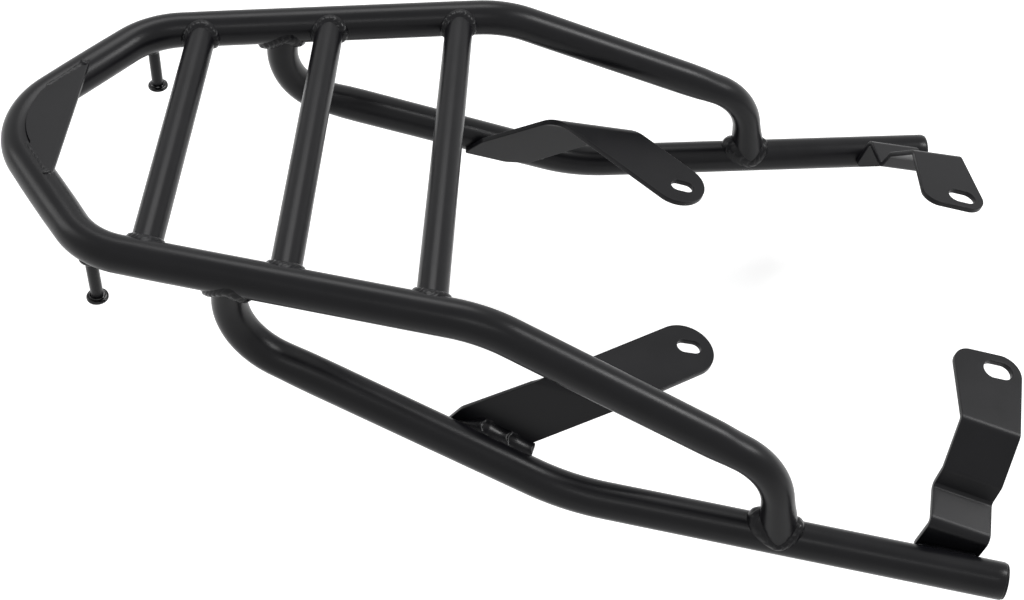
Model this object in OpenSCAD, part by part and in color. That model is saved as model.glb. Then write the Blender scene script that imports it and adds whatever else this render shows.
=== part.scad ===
/* [Tubes] */
// Outside diameter of the hoop and rail tube
tube_d = 25; // [23:0.5:27]
// Wall of the hoop and rail tube
tube_wall = 2; // [1.5:0.1:3]
// Outside diameter of the crossbars
bar_d = 20; // [16:0.5:21]
// Wall of the crossbars
bar_wall = 1.5; // [1.2:0.1:2.5]

/* [Deck] */
// Distance from the rear corners back to the point of the nose
nose_reach = 80; // [72:1:90]
// Centreline radius of the nose bend
nose_bend = 60; // [50:1:66]
// Half width of the deck at the rear corners
rear_half = 109; // [100:0.5:120]
// Centreline radius of the rear corners
rear_bend = 55; // [45:1:60]
// Sideways spread of each side per millimetre forward
flare = 0.173; // [0.12:0.005:0.22]
// Distance from the rear corners forward to the shoulders
deck_run = 249; // [242:1:260]
// Centreline radius of the shoulders
shoulder_bend = 91; // [70:1:105]
// Place of the rear crossbar
bar_rear_x = 36; // [34:0.5:44]
// Place of the middle crossbar
bar_middle_x = 125; // [119:0.5:140]
// Place of the front crossbar
bar_front_x = 217; // [205:0.5:219]

/* [Legs] */
// Place of the knee bend
knee_x = 440; // [434:1:446]
// Depth of the knee bend below the deck
knee_drop = 87; // [80:1:92]
// Centreline radius of the knee
knee_bend = 52; // [45:1:56]
// Distance that the knee sits inside the line of the side
knee_in = 3.3; // [0:0.1:6]
// Place where the leg stands on the rail
foot_x = 451; // [447:1:457]

/* [Rails] */
// Place where the rail hangs from the hoop
rail_top_x = 95; // [90:1:100]
// Place of the elbow corner
elbow_x = 77; // [73:1:81]
// Depth of the elbow corner below the deck
elbow_drop = 51; // [49:0.5:58]
// Centreline radius of the elbow
elbow_bend = 49; // [42:1:51]
// Place of the long bend in the rail
dip_x = 311; // [305:1:317]
// Depth of the long bend below the deck
dip_drop = 147; // [140:1:154]
// Centreline radius of the long bend
dip_bend = 137; // [110:1:160]
// Distance that the long bend sits outside the line of the side
dip_out = 1.4; // [0:0.1:3]
// Place of the rail's front end
rail_front_x = 595.5; // [590:0.5:610]
// Depth of the rail's front end below the deck
rail_front_drop = 152; // [147:1:158]
// Distance that the front end sits inside the line of the side
rail_front_in = 1.9; // [0:0.1:3]
// Thickness of the cap on the rail's front end
cap_thick = 1.6; // [1:0.1:3]

/* [Brackets] */
// Thickness of the bracket bars
plate = 4; // [3:0.25:5]
// Width of the mid bracket bar
mid_width = 42; // [38:0.5:45]
// Lean of the mid bracket leg from upright
mid_lean = 16.9; // [14:0.1:20]
// Distance from the long bend back to the mid bracket ridge
mid_back = 51.7; // [48:0.1:55]
// Height of the mid bracket ridge above the rail
mid_rise = 67.1; // [63:0.1:72]
// Angle between the mid bracket ridge and the rail
mid_turn = 11.7; // [9:0.1:14]
// Fold angle of the mid bracket
mid_fold = 74.4; // [70:0.2:80]
// Angle between the mid bracket tab and its ridge
mid_skew = 43.8; // [40:0.2:48]
// Length of the mid bracket tab to the centre of its round end
mid_tab = 82.4; // [76:0.2:90]
// Outside bend radius of the mid bracket's fold
mid_radius = 12; // [8:0.5:14]
// Length of the mid bracket slot
mid_slot_len = 17; // [14:0.5:22]
// Width of the mid bracket slot
mid_slot_wide = 10.6; // [8:0.2:13]
// Width of the front bracket bar
front_width = 41.5; // [36:0.5:46]
// Place of the front bracket's rear edge
front_x = 537; // [530:1:545]
// Downward pitch of the front bracket folds
front_pitch = 12.9; // [10:0.1:15]
// Length of the front bracket slot
front_slot_len = 20.8; // [16:0.2:23]
// Width of the front bracket slot
front_slot_wide = 13.8; // [11:0.2:16]
// Outside bend radius of the front bracket's folds
fold_radius = 7; // [6:0.5:8]

/* [Small parts] */
// Thickness of the nose plate
nose_thick = 3; // [2:0.25:4]
// Height of the nose plate's top above the tube centreline
nose_top = 11.9; // [10.5:0.1:12.1]
// Width of the unwelded slit at the nose
slit = 0.9; // [0.5:0.1:1.5]
// Diameter of the strap peg rods
peg_d = 8; // [6:0.5:9]
// Depth of the peg foot's underside below the deck
peg_drop = 48; // [44:0.5:56]
// Diameter of the peg feet
peg_foot_d = 14.3; // [12:0.1:18]
// Leg length of the weld beads on the crossbars
bead = 3; // [2:0.25:3.5]
// Leg length of the weld beads on rails and legs
big_bead = 4.5; // [3:0.25:5]

/* [Hidden] */
$fn = 32;

// Straight runs stand this much proud of the bends and reach this far into them
seam = 0.04;
lap = 0.4;
// Root gap where a tube is cut to sit on another of the same size
root_gap = 0.15;
// How far a plate is let in where it lies against a tube
seat = 0.3;
tube_r = tube_d / 2;
bar_r = bar_d / 2;
skin_r = tube_r + seam;
coat = [0.09, 0.09, 0.1];
bright = [0.2, 0.2, 0.22];

function unit(v) = v / norm(v);
function half_angle(p, i) = acos(unit(p[i - 1] - p[i]) * unit(p[i + 1] - p[i])) / 2;
function setback(p, radii, i) = radii[i] / tan(half_angle(p, i));
function reach(p, radii, i) = p[i] + unit(p[i - 1] - p[i]) * setback(p, radii, i);
function leave(p, radii, i) = p[i] + unit(p[i + 1] - p[i]) * setback(p, radii, i);
function stretch(p, l) = let (n = len(p) - 1)
    [for (i = [0 : n]) i == 0 ? p[0] + unit(p[0] - p[1]) * l
        : i == n ? p[n] + unit(p[n] - p[n - 1]) * l : p[i]];
function flip(v) = [v[0], -v[1], v[2]];
function side_half(x) = rear_half + flare * x;
function deck_point(x) = [x, side_half(x), 0];

corner = deck_point(0);
shoulder = deck_point(deck_run);
nose = [-nose_reach, 0, 0];
knee = [knee_x, side_half(knee_x) - knee_in, -knee_drop];
rail_top = deck_point(rail_top_x);
elbow = [elbow_x, side_half(elbow_x) + 0.5, -elbow_drop];
dip = [dip_x, side_half(dip_x) + dip_out, -dip_drop];
rail_front = [rail_front_x, side_half(rail_front_x) - rail_front_in, -rail_front_drop];
slope_dir = unit(dip - elbow);
level_dir = unit(rail_front - dip);
foot = dip + (rail_front - dip) * (foot_x - dip_x) / (rail_front_x - dip_x);
leg_dir = unit(knee - foot);
hang_dir = unit(elbow - rail_top);

hoop_path = [foot + leg_dir * 1.2, knee, shoulder, corner, nose,
    flip(corner), flip(shoulder), flip(knee), flip(foot + leg_dir * 1.2)];
hoop_bends = [0, knee_bend, shoulder_bend, rear_bend, nose_bend,
    rear_bend, shoulder_bend, knee_bend, 0];
rail_path = [rail_top + hang_dir * 1.2, elbow, dip, rail_front];
rail_bends = [0, elbow_bend, dip_bend, 0];

module place(o, x, y, z)
    multmatrix([[x[0], y[0], z[0], o[0]], [x[1], y[1], z[1], o[1]],
        [x[2], y[2], z[2], o[2]], [0, 0, 0, 1]])
        children();

module along(a, b) {
    z = unit(b - a);
    x = unit(cross(abs(z[2]) < 0.9 ? [0, 0, 1] : [1, 0, 0], z));
    place(a, x, cross(z, x), z) children();
}

module rod(a, b, r)
    along(a, b) cylinder(r = r, h = norm(b - a));

module bend(p, radii, i, r) {
    u = unit(p[i - 1] - p[i]);
    v = unit(p[i + 1] - p[i]);
    centre = p[i] + unit(u + v) * radii[i] / sin(half_angle(p, i));
    x = unit(reach(p, radii, i) - centre);
    z = unit(cross(x, unit(leave(p, radii, i) - centre)));
    place(centre, x, cross(z, x), z)
        rotate_extrude(angle = 180 - 2 * half_angle(p, i), $fn = 120)
            translate([radii[i], 0]) circle(r = r);
}

// Solid bar of radius r along straight runs and bends
module tube_run(p, radii, r) {
    last = len(p) - 1;
    for (i = [0 : last - 1]) {
        d = unit(p[i + 1] - p[i]) * lap;
        rod(i == 0 ? p[0] : leave(p, radii, i) - d,
            i == last - 1 ? p[last] : reach(p, radii, i + 1) + d, r + seam);
    }
    for (i = [1 : last - 1]) bend(p, radii, i, r);
}

module tube(p, radii, r, wall)
    difference() {
        tube_run(p, radii, r);
        tube_run(stretch(p, 2), radii, r - wall);
    }

module right_side() mirror([0, 1, 0]) children();

// Straight side of the hoop, from rear corner to shoulder
module side_rod(r) rod(corner, shoulder, r);

// Level front run of the rail
module level_rod(r) rod(dip, rail_front, r);

module nose_run(r) tube_run([corner, nose, flip(corner)], [0, nose_bend, 0], r);

module hoop()
    color(coat)
        difference() {
            tube(hoop_path, hoop_bends, tube_r, tube_wall);
            level_rod(skin_r + root_gap);
            right_side() level_rod(skin_r + root_gap);
        }

module crossbar(x)
    color(coat)
        difference() {
            rod(flip(deck_point(x)), deck_point(x), bar_r);
            rod(flip(deck_point(x)) - [0, 1, 0], deck_point(x) + [0, 1, 0], bar_r - bar_wall);
            side_rod(skin_r);
            right_side() side_rod(skin_r);
        }

module crossbar_rear() crossbar(bar_rear_x);
module crossbar_middle() crossbar(bar_middle_x);
module crossbar_front() crossbar(bar_front_x);

module rail()
    color(coat)
        difference() {
            tube(rail_path, rail_bends, tube_r, tube_wall);
            side_rod(skin_r + root_gap);
        }

module rail_left() rail();
module rail_right() right_side() rail();

// Steel end cap with a spigot inside the tube
module rail_cap()
    color(coat)
        along(rail_front, rail_front + level_dir) {
            cylinder(r = tube_r - 0.5, h = cap_thick);
            translate([0, 0, -8]) cylinder(r = tube_r - tube_wall - 0.2, h = 8.4);
        }

module rail_cap_left() rail_cap();
module rail_cap_right() right_side() rail_cap();

// Fillet bead round a branch of radius r that leaves a tube at o in direction d
module ring_cone(o, d, r, start, leg)
    intersection() {
        along(o + d * start, o + d * (tube_r + leg - 0.3))
            cylinder(r1 = r + leg + tube_r - start, r2 = r + 0.3, h = tube_r + leg - 0.3 - start);
        rod(o, o + d * (tube_r + leg + 2), r + leg + 0.7);
    }

module crossbar_weld(x)
    color(bright)
        difference() {
            intersection() {
                ring_cone(deck_point(x), [0, -1, 0], bar_r, 5, bead);
                side_rod(tube_r + bead);
            }
            side_rod(skin_r);
            rod(flip(deck_point(x)), deck_point(x), bar_r);
        }

module weld_rear_left() crossbar_weld(bar_rear_x);
module weld_rear_right() right_side() crossbar_weld(bar_rear_x);
module weld_middle_left() crossbar_weld(bar_middle_x);
module weld_middle_right() right_side() crossbar_weld(bar_middle_x);
module weld_front_left() crossbar_weld(bar_front_x);
module weld_front_right() right_side() crossbar_weld(bar_front_x);

module rail_top_weld()
    color(bright)
        difference() {
            intersection() {
                ring_cone(rail_top, hang_dir, tube_r, 1.5, big_bead);
                side_rod(tube_r + big_bead);
            }
            side_rod(skin_r);
            tube_run([rail_top, elbow, dip], [0, elbow_bend, 0], tube_r);
        }

module weld_rail_top_left() rail_top_weld();
module weld_rail_top_right() right_side() rail_top_weld();

module leg_weld()
    color(bright)
        difference() {
            intersection() {
                ring_cone(foot, leg_dir, tube_r, 2.2, big_bead);
                level_rod(tube_r + big_bead);
            }
            level_rod(skin_r);
            rod(foot, foot + leg_dir * (tube_r + big_bead + 4), skin_r);
        }

module weld_leg_left() leg_weld();
module weld_leg_right() right_side() leg_weld();

// Mid bracket: the leg lies against the inner side of the sloping rail
slope_out = unit([-slope_dir[1], slope_dir[0], 0]);
slope_up = cross(slope_dir, slope_out);
leg_normal = slope_out * cos(mid_lean) + slope_up * sin(mid_lean);
leg_up = slope_up * cos(mid_lean) - slope_out * sin(mid_lean);
touch = dip - leg_normal * (skin_r - seat);
ridge = touch - slope_dir * mid_back + leg_up * mid_rise;
ridge_dir = slope_dir * cos(mid_turn) + leg_up * sin(mid_turn);
leg_rise = cross(ridge_dir, leg_normal);
tab_normal = leg_normal * cos(mid_fold) + leg_rise * sin(mid_fold);
tab_in = cross(ridge_dir, tab_normal);
ridge_len = mid_width / sin(mid_skew);
mid_set = mid_radius * tan(mid_fold / 2);
mid_half_arc = mid_radius * mid_fold * PI / 360;
mid_lean_out = mid_half_arc / tan(mid_skew);
tab_line = [cos(mid_skew), sin(mid_skew)];
tab_side = [-sin(mid_skew), cos(mid_skew)];
tab_root = [mid_lean_out - mid_set / tan(mid_skew), 0];
tab_end = [ridge_len / 2, 0] + tab_root + tab_line * mid_tab;
mid_slot = tab_end + tab_line * 4.6 + tab_side * 0.25;
mid_slot_turn = 9.5;
// Corners of the leg, which end on the rail
leg_back = [-0.688, -0.635] * mid_rise;
leg_toe = [-0.835, -0.9] * mid_rise;
leg_low = [-0.33, -0.985] * mid_rise;
leg_tip = [ridge_len - 0.967 * mid_rise, -0.946 * mid_rise];

module slot(len, wide, h)
    translate([0, 0, -h]) linear_extrude(2 * h) {
        square([len - wide, wide], center = true);
        translate([(len - wide) / 2, 0]) circle(d = wide);
        translate([-(len - wide) / 2, 0]) circle(d = wide);
    }

module mid_tab_plate()
    place(ridge, ridge_dir, tab_in, cross(ridge_dir, tab_in))
        difference() {
            union() {
                translate([0, 0, -seam / 2]) linear_extrude(plate + seam)
                    polygon([tab_root + [(mid_set - lap) / tan(mid_skew), mid_set - lap],
                        tab_root + [ridge_len + (mid_set - lap) / tan(mid_skew), mid_set - lap],
                        tab_end - tab_side * mid_width / 2, tab_end + tab_side * mid_width / 2]);
                translate([tab_end[0], tab_end[1], -seam / 2])
                    cylinder(d = mid_width, h = plate + seam);
            }
            translate([mid_slot[0], mid_slot[1], 0])
                rotate(mid_slot_turn) slot(mid_slot_len, mid_slot_wide, plate + 1);
        }

module mid_leg_plate() {
    cut = mid_set - lap;
    back = lap / tan(mid_skew) - mid_lean_out;
    place(ridge, ridge_dir, leg_rise, -leg_normal)
        translate([0, 0, -seam / 2])
            linear_extrude(plate + seam)
                polygon([[back, -cut], leg_back, leg_toe, leg_low, leg_tip, [ridge_len + back, -cut]]);
}

// Bend between the tab and the leg, cut off obliquely at both edges
module mid_bend() {
    turn = mid_fold / 2;
    out = unit(leg_normal + tab_normal);
    across = cross(out, ridge_dir);
    centre = ridge - out * mid_radius / cos(turn);
    s = (mid_radius - plate / 2) * sin(turn) * 1.6;
    u = mid_lean_out * 1.6;
    intersection() {
        place(centre, out, across, -ridge_dir)
            translate([0, 0, -ridge_len - 20]) rotate(-turn)
                rotate_extrude(angle = mid_fold, $fn = 120)
                    translate([mid_radius - plate, 0]) square([plate, ridge_len + 60]);
        place(centre, ridge_dir, across, cross(ridge_dir, across))
            translate([0, 0, -20]) linear_extrude(40)
                polygon([[-u, s], [u, -s], [ridge_len + u, -s], [ridge_len - u, s]]);
    }
}

module mid_bracket()
    color(coat)
        difference() {
            union() {
                mid_tab_plate();
                mid_bend();
                mid_leg_plate();
            }
            tube_run([elbow, dip, rail_front], [0, dip_bend, 0], tube_r);
        }

module mid_bracket_left() mid_bracket();
module mid_bracket_right() right_side() mid_bracket();

module mid_weld()
    color(bright)
        difference() {
            place(touch - slope_dir * (mid_back + 0.55 * mid_rise), leg_normal, leg_up, slope_dir)
                linear_extrude(1.36 * mid_width)
                    polygon(tube_r * [[0, 0.24], [0, 1.38], [0.24, 1.39], [0.5, 1.3], [0.77, 1.03],
                        [0.64, 0.4]]);
            rod(elbow, dip, skin_r);
        }

module weld_mid_bracket_left() mid_weld();
module weld_mid_bracket_right() right_side() mid_weld();

// Front bracket: one bar with parallel folds, standing against the level rail
level_out = unit([-level_dir[1], level_dir[0], 0]);
heading = unit([level_dir[0], level_dir[1], 0]);
fold_dir = heading * cos(front_pitch) - [0, 0, 1] * sin(front_pitch);
fold_up = heading * sin(front_pitch) + [0, 0, 1] * cos(front_pitch);
front_on_rail = dip + level_dir * ((front_x - dip_x) / level_dir[0]);
front_foot = front_on_rail - level_out * (skin_r - seat);
steps = [[0, 0], [2.5, 28.2], [32.3, 29.4], [36, 43.5], [61.1, 69], [111, 71.3]];

function step_dir(i) = unit(steps[i + 1] - steps[i]);
function step_turn(i) = acos(step_dir(i - 1) * step_dir(i));
function turns_in(i) = cross(step_dir(i - 1), step_dir(i)) < 0;
function step_set(i) = (turns_in(i) ? fold_radius : fold_radius - plate) * tan(step_turn(i) / 2);
function left_of(d) = [-d[1], d[0]];

// Points along a round corner, from one angle to another
function arc(c, r, from, to, n) =
    [for (i = [0 : n]) c + r * [cos(from + (to - from) * i / n), sin(from + (to - from) * i / n)]];

// Face of the bar at fold i, at a depth below the bar's outer face
function fold_face(i, depth) = let (
        d = step_dir(i - 1),
        n = left_of(d),
        start = steps[i] - d * step_set(i),
        a = atan2(n[1], n[0]))
    turns_in(i)
        ? arc(start - n * fold_radius, fold_radius - depth, a, a - step_turn(i), 8)
        : arc(start + n * (fold_radius - plate), fold_radius - plate + depth,
            a + 180, a + 180 + step_turn(i), 8);

function bar_end(i, l, depth) = steps[i] + step_dir(i) * l - left_of(step_dir(i)) * depth;

function bar_face(depth) = concat([bar_end(0, -16, depth)],
    [for (i = [1 : 4]) each fold_face(i, depth)], [bar_end(4, step_set(4) + 2, depth)]);

function backward(p) = [for (i = [len(p) - 1 : -1 : 0]) p[i]];

module front_frame()
    place(front_foot, -level_out, fold_up, cross(-level_out, fold_up)) children();

// Length of bar with its folds, as one profile
module front_bar()
    translate([0, 0, -front_width]) linear_extrude(front_width)
        polygon(concat(bar_face(0), backward(bar_face(plate))));

pad_dir = step_dir(4);
pad_start = step_set(4) - lap;
pad_slot = [50, -24];
pad_slot_turn = -81;
pad_heel = [48, -5];
pad_heel_r = 12.5;
pad_toe_r = 14.7;
pad_toe = [49, pad_toe_r - front_width];
pad_across = pad_toe - pad_heel;
pad_end_turn = asin((pad_toe_r - pad_heel_r) / norm(pad_across)) + 90
    + atan2(pad_across[1], pad_across[0]);

module front_pad()
    place([steps[4][0], steps[4][1], 0], [pad_dir[0], pad_dir[1], 0], [0, 0, 1],
        [pad_dir[1], -pad_dir[0], 0])
        difference() {
            translate([0, 0, -seam / 2]) linear_extrude(plate + seam)
                polygon(concat([[pad_start, -front_width], [pad_start, 0]],
                    arc(pad_heel, pad_heel_r, 99, pad_end_turn, 12),
                    arc(pad_toe, pad_toe_r, pad_end_turn, -90, 12)));
            translate([pad_slot[0], pad_slot[1], 0])
                rotate(pad_slot_turn) slot(front_slot_len, front_slot_wide, plate + 1);
        }

module front_bracket()
    color(coat)
        difference() {
            front_frame() {
                front_bar();
                front_pad();
            }
            level_rod(skin_r);
            translate(front_on_rail - [30, 60, 40]) cube([100, 80, 38]);
        }

module front_bracket_left() front_bracket();
module front_bracket_right() right_side() front_bracket();

module front_weld()
    color(bright)
        difference() {
            place(front_foot + level_dir * 2, level_out, cross(level_dir, level_out), level_dir)
                linear_extrude(38)
                    polygon([[-2.5, 2], [-2.5, 12], [2.2, 11.6], [5, 9]]);
            level_rod(skin_r);
            front_frame() front_bar();
        }

module weld_front_bracket_left() front_weld();
module weld_front_bracket_right() right_side() front_weld();

// Strap pegs under the rear corners
peg_at = [0.4, rear_half - 3, 0];

module peg()
    color(coat)
        difference() {
            translate(peg_at - [0, 0, peg_drop - 1.2]) cylinder(d = peg_d, h = peg_drop - 6);
            tube_run([nose, corner, shoulder], [0, rear_bend, 0], tube_r);
        }

module peg_left() peg();
module peg_right() right_side() peg();

module peg_foot()
    color(coat)
        translate(peg_at - [0, 0, peg_drop])
            difference() {
                union() {
                    cylinder(d = peg_foot_d, h = 2);
                    cylinder(d = peg_d + 2.6, h = 3.6);
                }
                translate([0, 0, 1.2]) cylinder(d = peg_d, h = 4);
            }

module peg_foot_left() peg_foot();
module peg_foot_right() right_side() peg_foot();

module peg_weld()
    color(bright)
        difference() {
            translate(peg_at - [0, 0, tube_r + 2])
                cylinder(r1 = peg_d / 2 + 0.4, r2 = peg_d / 2 + 3.5, h = 5);
            tube_run([nose, corner, shoulder], [0, rear_bend, 0], tube_r);
            translate(peg_at - [0, 0, tube_r + 4]) cylinder(d = peg_d, h = 12);
        }

module weld_peg_left() peg_weld();
module weld_peg_right() right_side() peg_weld();

// Plate across the nose, let in between the tubes just under their crowns
nose_edge_x = 48.5 - nose_reach;
nose_slope = rear_half / nose_reach;
nose_turn = atan(nose_slope);
nose_arc_x = -nose_reach + nose_bend / cos(90 - nose_turn);

module nose_outline()
    polygon(concat(
        [[nose_edge_x, -(nose_edge_x + nose_reach) * nose_slope]],
        [[nose_edge_x, (nose_edge_x + nose_reach) * nose_slope]],
        [for (a = [-90 + nose_turn : (180 - 2 * nose_turn) / 8 : 90 - nose_turn])
            [nose_arc_x - nose_bend * cos(a), -nose_bend * sin(a)]]));

module nose_plate()
    color(coat)
        difference() {
            translate([0, 0, nose_top - nose_thick]) linear_extrude(nose_thick) nose_outline();
            nose_run(tube_r);
            intersection() {
                nose_run(tube_r + slit);
                translate([-nose_reach - 20, -30, 0]) cube([60, 52, 20]);
            }
        }

// Line where the plate's top meets the straight run beside the nose
nose_dir = unit(corner - nose);
nose_in = [nose_dir[1], -nose_dir[0], 0];
nose_gap = sqrt(tube_r * tube_r - nose_top * nose_top);
nose_seam_end = (nose_edge_x + nose_reach - nose_in[0] * nose_gap) / nose_dir[0];

function on_nose_seam(l) = nose + nose_dir * l + nose_in * nose_gap + [0, 0, nose_top - 0.6];

module nose_weld()
    color(bright)
        difference() {
            rod(on_nose_seam(nose_seam_end - 3), on_nose_seam(nose_seam_end * 0.6), nose_thick / 2);
            nose_run(tube_r);
            translate([-nose_reach, -rear_half, nose_top - 10])
                cube([nose_reach, 2 * rear_half, 10]);
        }

module weld_nose_left() nose_weld();
module weld_nose_right() right_side() nose_weld();

hoop();
nose_plate();
crossbar_rear();
crossbar_middle();
crossbar_front();
rail_left();
rail_right();
rail_cap_left();
rail_cap_right();
mid_bracket_left();
mid_bracket_right();
front_bracket_left();
front_bracket_right();
peg_left();
peg_right();
peg_foot_left();
peg_foot_right();
weld_rear_left();
weld_rear_right();
weld_middle_left();
weld_middle_right();
weld_front_left();
weld_front_right();
weld_rail_top_left();
weld_rail_top_right();
weld_leg_left();
weld_leg_right();
weld_mid_bracket_left();
weld_mid_bracket_right();
weld_front_bracket_left();
weld_front_bracket_right();
weld_peg_left();
weld_peg_right();
weld_nose_left();
weld_nose_right();
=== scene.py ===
"""Studio scene of a tubular motorcycle luggage rack in satin black powder coat.

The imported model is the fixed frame. Each sub-assembly builds its surfaces with numpy, in
millimetres in the row's frame, and hands them to Blender in metres with a procedural finish.
"""

import logging
import math
from dataclasses import dataclass, field
from enum import Enum

import bpy
import numpy as np
from mathutils import Matrix, Vector


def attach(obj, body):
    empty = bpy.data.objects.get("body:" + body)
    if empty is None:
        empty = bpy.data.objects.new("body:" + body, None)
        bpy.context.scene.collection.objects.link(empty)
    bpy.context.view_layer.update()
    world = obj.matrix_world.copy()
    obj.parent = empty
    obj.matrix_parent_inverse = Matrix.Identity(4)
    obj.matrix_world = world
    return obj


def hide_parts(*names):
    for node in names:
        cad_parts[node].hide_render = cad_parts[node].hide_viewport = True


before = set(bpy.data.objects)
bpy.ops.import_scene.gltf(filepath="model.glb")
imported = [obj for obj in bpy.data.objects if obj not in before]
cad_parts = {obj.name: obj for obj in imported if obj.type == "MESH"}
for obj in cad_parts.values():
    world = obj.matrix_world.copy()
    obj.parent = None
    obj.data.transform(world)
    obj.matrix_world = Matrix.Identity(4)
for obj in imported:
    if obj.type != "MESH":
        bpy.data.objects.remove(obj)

LOG = logging.getLogger("rack")
MM = 0.001
CORNER_POINTS = 6
Array = np.ndarray
Point = tuple[float, float, float]


class Side(Enum):
    """The two mirrored sides of the rack."""

    LEFT = 1
    RIGHT = -1

    @property
    def word(self) -> str:
        """The side's name as the nodes use it."""
        return self.name.lower()

    def turn(self, points: Array) -> Array:
        """Puts points of the left side on this side.

        Args:
            points: points in millimetres, last axis x, y, z.

        Returns:
            The same points, mirrored in the middle plane for the right side.
        """
        return points * np.array([1.0, float(self.value), 1.0])


class Slot(Enum):
    """The record's material slots."""

    TUBE = "tube"
    BRACKET = "bracket"
    WELD = "weld"
    CAP = "cap"
    PEG_FOOT = "peg_foot"


def unit(v: Array) -> Array:
    """Vectors scaled to length one along the last axis."""
    v = np.asarray(v, float)
    return v / np.linalg.norm(v, axis=-1, keepdims=True)


def smooth(t: Array) -> Array:
    """Smooth step: 3 t^2 - 2 t^3 with t held between 0 and 1."""
    t = np.clip(t, 0.0, 1.0)
    return t * t * (3.0 - 2.0 * t)


@dataclass(frozen=True)
class RackSizes:
    """Sizes of the rack in millimetres, as the solids have them.

    The fields that end in _at give x, the distance out from the line of the side, and the drop
    below the deck.
    """

    tube_r: float = 12.5
    bar_r: float = 10.0
    nose_reach: float = 80.0
    nose_bend: float = 60.0
    rear_half: float = 109.0
    rear_bend: float = 55.0
    flare: float = 0.173
    deck_run: float = 249.0
    shoulder_bend: float = 91.0
    bar_x: Point = (36.0, 125.0, 217.0)
    knee_at: Point = (440.0, -3.3, 87.0)
    knee_bend: float = 52.0
    rail_top_x: float = 95.0
    elbow_at: Point = (77.0, 0.5, 51.0)
    elbow_bend: float = 49.0
    dip_at: Point = (311.0, 1.4, 147.0)
    dip_bend: float = 137.0
    rail_front_at: Point = (595.5, -1.9, 152.0)
    foot_x: float = 451.0
    plate: float = 4.0
    fold_radius: float = 7.0

    def side_half(self, x: float) -> float:
        """Half width of the deck at x: the rear half width plus the flare times x."""
        return self.rear_half + self.flare * x

    def deck_point(self, x: float) -> Array:
        """Point on the left side's centreline at x."""
        return np.array([x, self.side_half(x), 0.0])

    def beside(self, x: float, out: float, drop: float) -> Array:
        """Point at x, out from the line of the left side and a drop below the deck."""
        return np.array([x, self.side_half(x) + out, -drop])

    @property
    def nose(self) -> Array:
        """Corner of the nose bend."""
        return np.array([-self.nose_reach, 0.0, 0.0])

    @property
    def knee(self) -> Array:
        """Corner of the knee bend."""
        return self.beside(*self.knee_at)

    @property
    def elbow(self) -> Array:
        """Corner of the elbow under the hoop."""
        return self.beside(*self.elbow_at)

    @property
    def rail_top(self) -> Array:
        """Place on the hoop's centreline where the rail hangs."""
        return self.deck_point(self.rail_top_x)

    @property
    def dip(self) -> Array:
        """Corner of the long bend in the rail."""
        return self.beside(*self.dip_at)

    @property
    def rail_front(self) -> Array:
        """Front end of the rail."""
        return self.beside(*self.rail_front_at)

    @property
    def foot(self) -> Array:
        """Place on the rail's centreline where the leg stands."""
        share = (self.foot_x - self.dip[0]) / (self.rail_front[0] - self.dip[0])
        return self.dip + (self.rail_front - self.dip) * share


@dataclass(frozen=True)
class BentPath:
    """A tube centreline of straight runs joined by circular bends."""

    corners: Array
    radii: tuple[float, ...]
    squash: tuple[float, ...]
    step: float = 3.0
    ramp: float = 22.0

    def sample(self) -> tuple[Array, Array, Array, Array]:
        """Points along the path.

        A bend of radius r between directions u and v touches each run at r / tan(half angle) from
        the corner, and its points are centre + r (x cos a + y sin a). The squash of a bend fades
        out over the ramp length on the runs beside it.

        Returns:
            Centres, tangents, directions towards the bend's centre, and the squash at each point.
        """
        p = np.asarray(self.corners, float)
        points, inward, amount = [p[:1]], [np.zeros((1, 3))], [np.zeros(1)]
        last = p[0]
        for i, (radius, squash) in enumerate(zip(self.radii, self.squash), start=1):
            u, v = unit(p[i - 1] - p[i]), unit(p[i + 1] - p[i])
            half = math.acos(float(np.clip(u @ v, -1, 1))) / 2
            reach = radius / math.tan(half)
            start, end = p[i] + u * reach, p[i] + v * reach
            centre = p[i] + unit(u + v) * radius / math.sin(half)
            x = unit(start - centre)
            y = unit(np.cross(np.cross(x, end - centre), x))
            run = self._run(last, start)
            turn = math.pi - 2 * half
            a = np.linspace(0, turn, max(8, int(radius * turn / self.step)))
            spoke = np.outer(np.cos(a), x) + np.outer(np.sin(a), y)
            points += [run, centre + radius * spoke]
            inward += [np.tile(-x, (len(run), 1)), -spoke]
            amount += [self._fade(run, start, squash), np.full(len(a), squash)]
            last = end
            tail = self._run(end, end + v * self.ramp)
            if i + 1 < len(p) - 1 or np.linalg.norm(p[-1] - end) > self.ramp + self.step:
                points.append(tail)
                inward.append(np.tile(-spoke[-1], (len(tail), 1)))
                amount.append(self._fade(tail, end, squash))
                last = end + v * self.ramp
        run = self._run(last, p[-1])
        points += [run, p[-1:]]
        inward += [np.tile(inward[-1][-1], (len(run), 1)), inward[-1][-1:]]
        amount += [np.zeros(len(run)), np.zeros(1)]
        c, k, q = np.concatenate(points), np.concatenate(inward), np.concatenate(amount)
        keep = np.concatenate([[True], np.linalg.norm(np.diff(c, axis=0), axis=1) > 0.4])
        c, k, q = c[keep], k[keep], q[keep]
        return c, unit(np.gradient(c, axis=0)), k, q

    def _run(self, a: Array, b: Array) -> Array:
        """Points inside a straight run, without its ends."""
        n = max(2, int(np.linalg.norm(b - a) / (self.step * 2)))
        t = np.linspace(0, 1, n + 1)[1:-1, None]
        return a + (b - a) * t

    def _fade(self, points: Array, at: Array, amount: float) -> Array:
        """Squash that falls from amount at a point to nothing over the ramp length."""
        return amount * smooth(1 - np.linalg.norm(points - at, axis=1) / self.ramp)


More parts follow.
